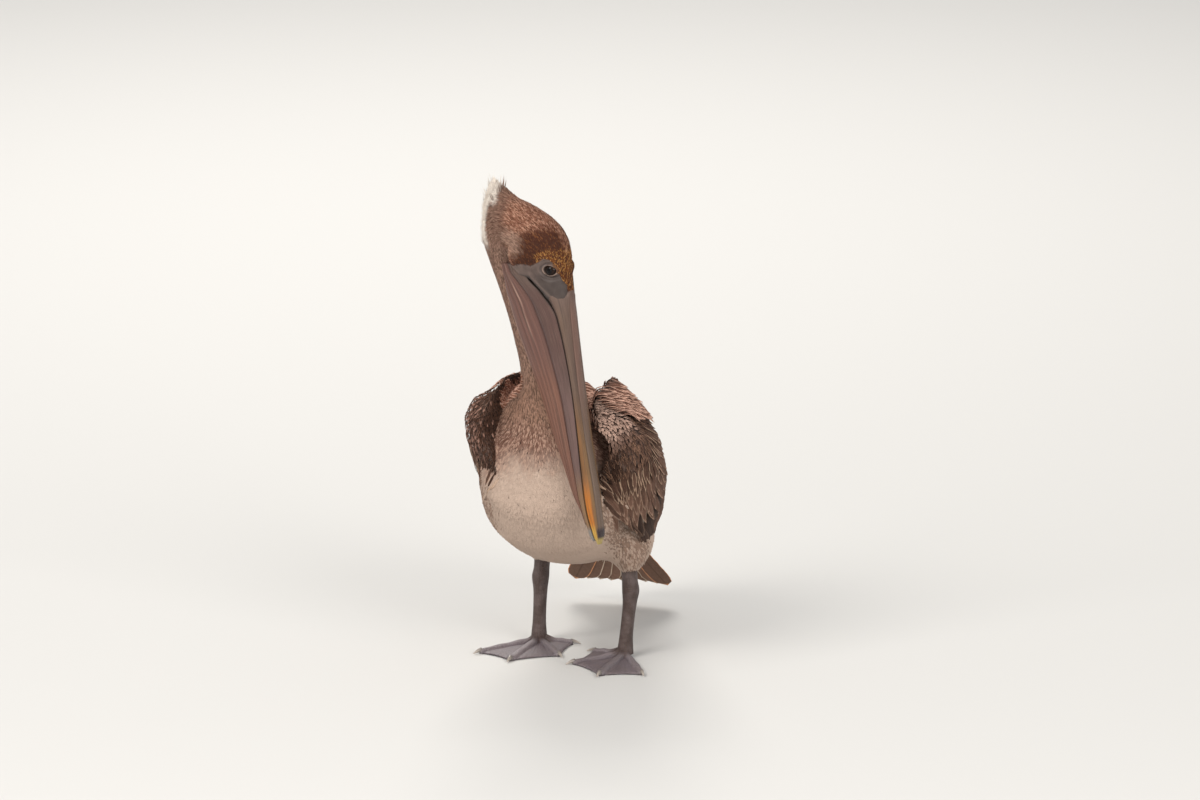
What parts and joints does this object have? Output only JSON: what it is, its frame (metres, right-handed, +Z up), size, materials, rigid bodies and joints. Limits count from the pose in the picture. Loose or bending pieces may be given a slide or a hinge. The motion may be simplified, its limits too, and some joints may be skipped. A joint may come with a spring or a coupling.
{
  "type": "pelican",
  "caption": "Standing brown pelican at rest, life size, long pouched bill lowered against the breast, wings folded, webbed feet flat on the ground.",
  "frame": {"origin": "centre of the bounding box in plan, on the ground plane under the soles", "axes": "+Z up, the bird faces -Y, its left side is +X"},
  "size_m": [0.2339, 0.3992, 0.585],
  "materials": {
    "plumage_brown": "soft matte feathers, dark brown",
    "plumage_head": "soft matte short feathers, warm brown",
    "plumage_white": "soft matte feathers, creamy white",
    "bill_horn": "satin horn, grey brown to ochre",
    "pouch_skin": "dry wrinkled skin, reddish brown",
    "claw_horn": "dark horn",
    "leg_skin": "scaly skin, slate grey",
    "eye_gloss": "wet gloss, dark brown"
  },
  "bodies": {
    "root": {"bill_lower": "bill_horn", "bill_nail": "claw_horn", "bill_upper": "bill_horn", "breast": "plumage_white", "claw_left_hind": "claw_horn", "claw_left_inner": "claw_horn", "claw_left_middle": "claw_horn", "claw_left_outer": "claw_horn", "claw_right_hind": "claw_horn", "claw_right_inner": "claw_horn", "claw_right_middle": "claw_horn", "claw_right_outer": "claw_horn", "eye_left": "eye_gloss", "eye_right": "eye_gloss", "foot_left": "leg_skin", "foot_right": "leg_skin", "head": "plumage_head", "neck_lower": "plumage_brown", "neck_middle": "plumage_brown", "neck_upper": "plumage_head", "pouch": "pouch_skin", "rump": "plumage_brown", "tail": "plumage_brown", "tarsus_left": "leg_skin", "tarsus_right": "leg_skin", "trunk": "plumage_white", "wing_left_coverts": "plumage_brown", "wing_left_primaries": "plumage_brown", "wing_left_secondaries": "plumage_brown", "wing_right_coverts": "plumage_brown", "wing_right_primaries": "plumage_brown", "wing_right_secondaries": "plumage_brown"}
  },
  "joints": []
}
